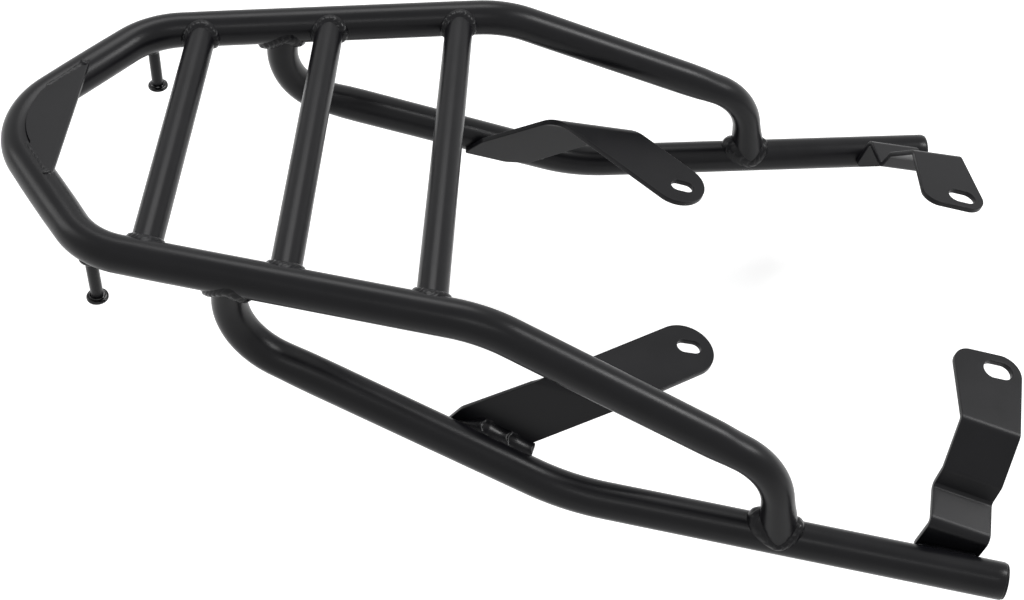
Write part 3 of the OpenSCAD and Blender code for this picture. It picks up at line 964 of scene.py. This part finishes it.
@dataclass
class NosePlate:
    """Plate let in across the nose, with an unwelded slit along the bend."""

    sizes: RackSizes
    top: float = 11.9
    thick: float = 3.0
    edge_x: float = -31.5
    slit: float = 1.7
    let_in: float = 0.3
    edge: float = 0.4
    along: int = 160

    def rim(self, offset: Array, share: Array) -> Array:
        """Points beside the nose tube, at an offset inwards from its centreline.

        The tube's line is straight, then an arc about a centre on the middle plane, then straight.
        The share runs over it from the right end of the plate to the left one.

        Args:
            offset: distance inwards from the centreline, for each point.
            share: place along the plate's outer edge, from 0 to 1.

        Returns:
            Points (x, y).
        """
        s = self.sizes
        turn = math.atan2(s.rear_half, s.nose_reach)
        centre_x = -s.nose_reach + s.nose_bend / math.sin(turn)
        r = s.nose_bend - offset
        half = math.pi / 2 - turn
        end_x = centre_x - r * math.cos(half)
        run = (self.edge_x - end_x) / math.cos(turn)
        total = run + r * half
        place = (share * 2 - 1) * total
        beyond = np.maximum(np.abs(place) - r * half, 0.0)
        angle = np.clip(place / r, -half, half)
        x = centre_x - r * np.cos(angle) + beyond * math.cos(turn)
        y = r * np.sin(angle) + np.sign(place) * beyond * math.sin(turn)
        return np.stack([x, y], -1)

    def surface(self) -> Array:
        """Rings of the plate from the middle of its top, over its edges, to the middle below.

        Each ring keeps clear of the tube by the slit at its own depth: the offset there is
        sqrt(r^2 - z^2) plus the gap. The slit opens towards the right side and closes at both
        ends, where the plate is let into the tube.
        """
        r = self.sizes.tube_r
        share = np.linspace(0, 1, self.along)
        turn = np.radians([90.0, 60.0, 30.0, 0.0])
        inset = np.concatenate([[1.2], self.edge * (1 - np.cos(turn))])
        depth = np.concatenate([[0.0], self.edge * (1 - np.sin(turn))])
        inset = np.concatenate([inset, inset[::-1]])
        depth = np.concatenate([depth, self.thick - depth[::-1]])
        y = self.rim(np.full(self.along, 5.0), share)[:, 1]
        opening = smooth((y + 31.0) / 3.0) * smooth((24.0 - y) / 10.0)
        gap = opening * self.slit * (1.2 - 0.018 * (y + 30.0)) - (1 - opening) * self.let_in
        rings = []
        for cut, down in zip(inset, depth):
            offset = math.sqrt(r * r - (self.top - down) ** 2) + gap + cut
            outer = self.rim(offset, share)
            outer[:, 0] = np.minimum(outer[:, 0], self.edge_x - cut)
            back = np.linspace(outer[-1], outer[0], 40)[1:-1]
            flat = np.concatenate([outer, back])
            rings.append(np.column_stack([flat, np.full(len(flat), self.top - down)]))
        return np.array(rings)

    def build(self, finishes: Finishes) -> None:
        """Makes the plate."""
        piece = MESHES.grid("nose_plate_sheet", self.surface(), False, True)
        finishes.dress(piece, Slot.BRACKET, "nose_plate")


@dataclass(frozen=True)
class Bead:
    """A weld bead with overlapping ripples, laid between two toe lines."""

    root: Array
    toe_a: Array
    toe_b: Array
    normal: Array
    bulge: float
    pitch: float
    ripple: float
    closed: bool
    seed: int
    fall: float = 0.28
    lag: float = 0.55
    taper: float = 0.1
    swell: float = 0.0

    def surface(self) -> Array:
        """Skin of the bead.

        A section is the straight line between the toes, lifted by bulge times sin(pi v), with v
        from 0 at one toe to 1 at the other. Ripples add a rounded saw tooth of the length along the
        bead, which lags at the middle of the section, so that each ripple is a crescent. The
        underside runs back through the root. An open bead grows over the taper's share of its
        length, ends blunt, and may swell into a lump just before its end.

        Returns:
            Points of shape along, around, 3.
        """
        after = self.root[:1] if self.closed else self.root[-1:]
        step = np.linalg.norm(np.diff(self.root, axis=0, append=after), axis=1)
        s = np.concatenate([[0.0], np.cumsum(step)])[: len(self.root)]
        total = float(step.sum())
        count = max(2, round(total / self.pitch))
        phase = s / total
        rng = np.random.default_rng(self.seed)
        shift = rng.uniform(0, 1, 4)
        wander = sum(np.sin(2 * math.pi * (k * phase + shift[k - 1])) / k for k in (1, 2, 3))
        size = 1 + 0.08 * wander
        if not self.closed:
            begins = smooth(phase / self.taper * 0.85 + 0.15)
            ends = np.sqrt(smooth((1 - phase) * 22 + 0.25))
            size = size * np.minimum(begins, ends)
            size = size + self.swell * np.exp(-(((phase - 0.94) / 0.045) ** 2))
        v = np.linspace(0, 1, 13)
        dome = np.sin(math.pi * v)
        uneven = 0.012 * np.sin(2 * math.pi * (3 * phase[:, None] + shift[3]))
        beat = count * (phase[:, None] + uneven) + self.lag * dome[None] ** 1.5
        tooth = beat - np.floor(beat)
        rise = 1 - self.fall
        up = np.sin(tooth / rise * math.pi / 2)
        down = np.cos((tooth - rise) / self.fall * math.pi / 2)
        crest = np.where(tooth < rise, up, down)
        swollen = self.bulge * dome[None] * size[:, None]
        lift = swollen + self.ripple * (crest - 0.6) * dome[None] ** 0.6
        grow = size[:, None, None]
        root, normal = self.root[:, None], self.normal[:, None]
        a = root + (self.toe_a - self.root)[:, None] * grow
        b = root + (self.toe_b - self.root)[:, None] * grow
        top = a * (1 - v[None, :, None]) + b * v[None, :, None] + normal * lift[..., None]
        return np.concatenate([top, b - normal * 0.5, root - normal * 0.6, a - normal * 0.5], 1)


@dataclass
class SaddleWeld:
    """Bead where a branch tube stands on a main tube."""

    foot: Array
    branch: Array
    main: Array
    branch_r: float
    main_r: float
    leg: float
    bulge: float
    seed: int
    pitch: float = 3.6
    ripple: float = 0.3
    rear: float = 0.0
    outer: float = 0.0
    count: int = 320

    def bead(self) -> Bead:
        """Works out the bead round the joint.

        The root is where a line of the branch tube, at distance s from the main axis along the
        branch, lies on the main tube: |a + s b| = R, where a and b are the parts of the branch's
        radius and direction across the main axis. One toe lies further up the branch, the other on
        the main tube away from it, pulled back to the tube's surface. The leg grows by the rear
        share behind the branch, and by the outer share on its outer side.

        Returns:
            The closed bead.
        """
        d, m = unit(self.branch), unit(self.main)
        e1 = unit(m - d * (m @ d))
        e2 = np.cross(d, e1)
        t = np.linspace(0, 2 * math.pi, self.count, endpoint=False)[:, None]
        ray = e1 * np.cos(t) + e2 * np.sin(t)
        w = ray * self.branch_r
        a, b = w - (w @ m)[:, None] * m, d - (d @ m) * m
        ab, bb, aa = a @ b, b @ b, (a * a).sum(1)
        root_term = np.sqrt(np.maximum(ab**2 - bb * (aa - (self.main_r + 0.02) ** 2), 0.0))
        s = (-ab + root_term) / bb
        root = self.foot + w + s[:, None] * d
        from_axis = root - self.foot
        skin = unit(from_axis - (from_axis @ m)[:, None] * m)
        away = ray - 0.55 * d
        away = unit(away - (away * skin).sum(1, keepdims=True) * skin)
        behind, outside = np.maximum(-np.cos(t), 0), np.maximum(np.sin(t), 0)
        leg = self.leg * (1 + self.rear * behind + self.outer * outside)
        toe_main = root + away * leg
        off = toe_main - self.foot
        axial = (off @ m)[:, None] * m
        toe_main = self.foot + axial + unit(off - axial) * (self.main_r - 0.1)
        toe_branch = root + d * leg - ray * 0.1
        shape = (self.bulge, self.pitch, self.ripple, True, self.seed)
        return Bead(root, toe_branch, toe_main, unit(ray + skin), *shape)


@dataclass
class Welds:
    """All the beads that hold the rack together."""

    sizes: RackSizes
    mid: MidBracket
    front: FrontBracket
    plate: NosePlate
    rings: int = 150

    def _saddles(self) -> dict[str, SaddleWeld]:
        """Beads round the tube joints, by the node that each one replaces, for the left side."""
        s = self.sizes
        side = unit(s.deck_point(1.0) - s.deck_point(0.0))
        inward = np.array([0.0, -1.0, 0.0])
        beads = {
            f"weld_{word}": SaddleWeld(
                s.deck_point(x), inward, side, s.bar_r, s.tube_r, leg=3.6, bulge=0.9, seed=11 + i
            )
            for i, (x, word) in enumerate(zip(s.bar_x, ("rear", "middle", "front")))
        }
        radii = (s.tube_r - 0.2, s.tube_r)
        hang, level = s.elbow - s.rail_top, s.rail_front - s.dip
        beads["weld_rail_top"] = SaddleWeld(
            s.rail_top, hang, side, *radii, leg=4.6, bulge=1.3, seed=21, pitch=4.2, ripple=0.45
        )
        beads["weld_leg"] = SaddleWeld(
            s.foot, s.knee - s.foot, level, *radii, leg=5.0, bulge=1.3, seed=31, pitch=5.4,
            ripple=0.5, rear=0.55, outer=-0.42,
        )
        return beads

    def _mid_bead(self) -> Bead:
        """Coarse bead in the notch between the mid bracket's leg and the top of the rail."""
        g, r = self.mid.axes(), self.sizes.tube_r
        length, plate_toe, tube_toe = 57.0, 17.4, math.radians(104.0)
        t = np.linspace(0, 1, self.rings)[:, None]
        start = g["touch"] - g["slope"] * (self.mid.back + 37.0)
        line = start + g["slope"] * length * t
        out, up = g["leg_out"], g["leg_up"]
        root = line + out * 1.6 + up * 6.0
        toe_plate = line + up * plate_toe - out * 0.2
        toe_tube = line + out * (r + r * math.cos(tube_toe) - 0.1) + up * (r * math.sin(tube_toe))
        normal = np.broadcast_to(unit(out * 0.45 + up), root.shape)
        return Bead(
            root, toe_plate, toe_tube, normal, bulge=0.8, pitch=17.0, ripple=1.0, closed=False,
            seed=41, fall=0.09, lag=0.12, taper=0.4,
        )

    def _front_bead(self) -> Bead:
        """Slim bead along the foot of the front bracket."""
        g, r = self.front.axes(), self.sizes.tube_r
        length, plate_toe, tube_toe = 39.0, 7.0, math.radians(140.0)
        t = np.linspace(0, 1, self.rings)[:, None]
        line = g["foot"] + g["level"] * (1.0 + length * t)
        out, up = g["out"], np.cross(g["level"], g["out"])
        root = line + up * 3.6 - out * 0.3
        toe_plate = line + up * plate_toe - out * 0.3
        toe_tube = line + out * (r + r * math.cos(tube_toe) - 0.1) + up * (r * math.sin(tube_toe))
        normal = np.broadcast_to(unit(out * 0.5 + up), root.shape)
        return Bead(
            root, toe_plate, toe_tube, normal, bulge=0.3, pitch=3.4, ripple=0.25, closed=False,
            seed=51,
        )

    def _nose_bead(self) -> Bead:
        """Seam between the nose plate and the straight run of the nose, dressed almost flush."""
        s, top = self.sizes, self.plate.top
        run = unit(s.deck_point(0.0) - s.nose)
        inward = np.array([run[1], -run[0], 0.0])
        t = np.linspace(0, 1, 120)[:, None]
        seam = math.sqrt(s.tube_r**2 - top**2)
        line = s.nose + run * (33.0 + 41.0 * t)
        up = np.array([0.0, 0.0, 1.0])
        root = line + inward * seam + up * (top - 0.6)
        on_tube = seam - 1.5
        toe_tube = line + inward * on_tube + up * (math.sqrt(s.tube_r**2 - on_tube**2) - 0.06)
        toe_plate = line + inward * (seam + 1.2) + up * (top - 0.04)
        normal = np.broadcast_to(up, root.shape)
        return Bead(
            root, toe_tube, toe_plate, normal, bulge=0.16, pitch=5.0, ripple=0.14, closed=False,
            seed=61, taper=0.2, swell=0.9,
        )

    def build(self, finishes: Finishes) -> None:
        """Makes every bead on both sides."""
        beads = {name: weld.bead() for name, weld in self._saddles().items()}
        beads["weld_mid_bracket"] = self._mid_bead()
        beads["weld_front_bracket"] = self._front_bead()
        beads["weld_nose"] = self._nose_bead()
        for name, bead in beads.items():
            rows = bead.surface()
            title = name.replace("weld", "bead")
            for side in Side:
                piece = MESHES.grid(f"{title}_{side.word}", side.turn(rows), bead.closed, True)
                finishes.dress(piece, Slot.WELD, f"{name}_{side.word}")


@dataclass
class StrapPeg:
    """Short rod with a disc foot under each rear corner.

    Each profile is a list of points of radius and depth below the deck.
    """

    sizes: RackSizes
    forward: float = 0.4
    inside: float = 3.0
    around: int = 40
    rod: tuple[tuple[float, float], ...] = (
        (3.0, 8.0), (4.0, 9.0), (4.0, 44.0), (3.6, 46.6), (2.0, 46.7),
    )
    flare: tuple[tuple[float, float], ...] = (
        (3.9, 9.6), (7.4, 9.9), (7.2, 11.6), (5.6, 13.0), (4.7, 14.2), (4.15, 15.6), (3.6, 15.6),
    )
    foot: tuple[tuple[float, float], ...] = (
        (3.7, 44.4), (4.9, 44.5), (5.3, 44.9), (5.3, 45.7), (6.6, 45.9),
        (7.0, 46.2), (7.15, 46.8), (7.1, 47.5), (6.7, 47.9), (2.0, 48.0),
    )

    def build(self, finishes: Finishes) -> None:
        """Makes the rod, its flared weld and its foot on both sides."""
        at = np.array([self.forward, self.sizes.rear_half - self.inside, 0.0])
        down = np.array([0.0, 0.0, -1.0])
        for side in Side:
            for name, node, profile, slot in (
                ("peg_rod", "peg", self.rod, Slot.TUBE),
                ("peg_weld_flare", "weld_peg", self.flare, Slot.WELD),
                ("peg_disc", "peg_foot", self.foot, Slot.PEG_FOOT),
            ):
                rows = side.turn(revolve(at, down, np.array(profile), self.around))
                piece = MESHES.grid(f"{name}_{side.word}", rows, False, True)
                finishes.dress(piece, slot, f"{node}_{side.word}")


@dataclass(frozen=True)
class SoftBox:
    """A rectangular lamp over the rack, in metres and watts."""

    name: str
    place: Point
    size: tuple[float, float]
    watts: float

    def build(self, aim: Point) -> None:
        """Hangs the lamp and points it at a place."""
        data = bpy.data.lights.new(self.name, "AREA")
        data.shape = "RECTANGLE"
        data.size, data.size_y = self.size
        data.energy = self.watts
        lamp = bpy.data.objects.new(self.name, data)
        lamp.location = self.place
        lamp.rotation_mode = "QUATERNION"
        lamp.rotation_quaternion = (Vector(aim) - Vector(self.place)).to_track_quat("-Z", "Y")
        bpy.context.scene.collection.objects.link(lamp)


@dataclass(frozen=True)
class Studio:
    """Floor, lights, white surround and the camera at the photograph's view.

    Lengths are in metres and angles in degrees. The focal length is in pixels of the photograph,
    as the camera's fit gave it.
    """

    floor_size: float = 12.0
    floor_z: float = -0.235
    floor_lift: float = 0.55
    fill: float = 0.25
    middle: Point = (0.26, 0.0, -0.05)
    lamps: tuple[SoftBox, ...] = (
        SoftBox("key_box", (0.1, 1.1, 1.6), (1.1, 0.7), 13.0),
        SoftBox("near_box", (0.3, -1.5, 1.9), (1.2, 0.35), 6.0),
        SoftBox("rear_box", (-1.7, 0.2, 0.9), (0.6, 1.0), 8.0),
        SoftBox("front_box", (2.0, 0.3, 1.5), (0.6, 0.8), 26.0),
    )
    eye: Point = (0.2574117, -0.8430206, 0.7562326)
    azimuth: float = -0.6859
    elevation: float = 46.7067
    roll: float = 4.0899
    focal_px: float = 1692.6957
    photo_width_px: float = 1024.0
    sensor: float = 36.0

    def floor(self) -> None:
        """Plain pale floor that keeps the rack's shadow and shows white round it."""
        bpy.ops.mesh.primitive_plane_add(size=self.floor_size, location=(0.25, 0.0, self.floor_z))
        floor = bpy.context.object
        floor.name = "studio_floor"
        material = bpy.data.materials.new("pale_floor")
        material.use_nodes = True
        shader = material.node_tree.nodes["Principled BSDF"]
        shader.inputs["Base Color"].default_value = (0.9, 0.9, 0.9, 1)
        shader.inputs["Roughness"].default_value = 0.9
        shader.inputs["Emission Color"].default_value = (1, 1, 1, 1)
        lift = self.background_rays(material.node_tree, 0.0, self.floor_lift)
        material.node_tree.links.new(lift, shader.inputs["Emission Strength"])
        floor.data.materials.append(material)

    def world(self) -> None:
        """White surround for the camera and for reflections, and a plain level of light."""
        world = bpy.data.worlds.new("studio_surround")
        bpy.context.scene.world = world
        world.use_nodes = True
        nodes, links = world.node_tree.nodes, world.node_tree.links
        back = nodes["Background"]
        back.inputs["Color"].default_value = (1, 1, 1, 1)
        links.new(self.background_rays(world.node_tree, self.fill, 1.0), back.inputs["Strength"])

    @staticmethod
    def background_rays(
        tree: bpy.types.NodeTree, other: float, seen: float
    ) -> bpy.types.NodeSocket:
        """A value for rays that see the background, and another for those that only give light.

        Camera, glossy and transmission rays see the background.

        Args:
            tree: the node tree to build in.
            other: the value for all other rays.
            seen: the value for the three kinds of ray.

        Returns:
            The socket that gives the value.
        """
        path = tree.nodes.new("ShaderNodeLightPath")
        first, second = tree.nodes.new("ShaderNodeMath"), tree.nodes.new("ShaderNodeMath")
        first.operation = second.operation = "MAXIMUM"
        tree.links.new(path.outputs["Is Camera Ray"], first.inputs[0])
        tree.links.new(path.outputs["Is Glossy Ray"], first.inputs[1])
        tree.links.new(first.outputs[0], second.inputs[0])
        tree.links.new(path.outputs["Is Transmission Ray"], second.inputs[1])
        span = tree.nodes.new("ShaderNodeMapRange")
        span.inputs["To Min"].default_value = other
        span.inputs["To Max"].default_value = seen
        tree.links.new(second.outputs[0], span.inputs["Value"])
        return span.outputs["Result"]

    def camera(self) -> None:
        """Camera found from the tube edges in the photograph."""
        az, el, roll = (math.radians(v) for v in (self.azimuth, self.elevation, self.roll))
        back = Vector((math.sin(az) * math.cos(el), -math.cos(az) * math.cos(el), math.sin(el)))
        right = Vector((math.cos(az), math.sin(az), 0.0))
        up = back.cross(right)
        x = math.cos(roll) * right + math.sin(roll) * up
        y = -math.sin(roll) * right + math.cos(roll) * up
        data = bpy.data.cameras.new("photo_view")
        data.sensor_width = self.sensor
        data.lens = self.sensor * self.focal_px / self.photo_width_px
        data.clip_start, data.clip_end = 0.05, 50.0
        camera = bpy.data.objects.new("photo_view", data)
        turn = Matrix((x, y, back)).transposed()
        camera.matrix_world = Matrix.Translation(Vector(self.eye)) @ turn.to_4x4()
        bpy.context.scene.collection.objects.link(camera)
        bpy.context.scene.camera = camera

    def build(self) -> None:
        """Sets up the whole studio."""
        bpy.context.scene.view_settings.view_transform = "Standard"
        self.floor()
        self.world()
        for lamp in self.lamps:
            lamp.build(self.middle)
        self.camera()


def corners(box: tuple) -> list[list[float]]:
    """A box's two corners as plain lists of numbers."""
    return [[float(v) for v in corner] for corner in box]


def main() -> None:
    """Builds the rack and its studio."""
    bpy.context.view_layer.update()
    sizes = RackSizes()
    finishes = Finishes()
    mid, front, plate = MidBracket(sizes), FrontBracket(sizes), NosePlate(sizes)
    welds = Welds(sizes, mid, front, plate)
    for work in (TubeFrame(sizes), mid, front, plate, welds, StrapPeg(sizes)):
        work.build(finishes)
        LOG.info("built %s", type(work).__name__)
    Studio().build()
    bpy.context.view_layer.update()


if __name__ == "__main__":
    logging.basicConfig(level=logging.INFO, format="%(name)s: %(message)s")
    main()
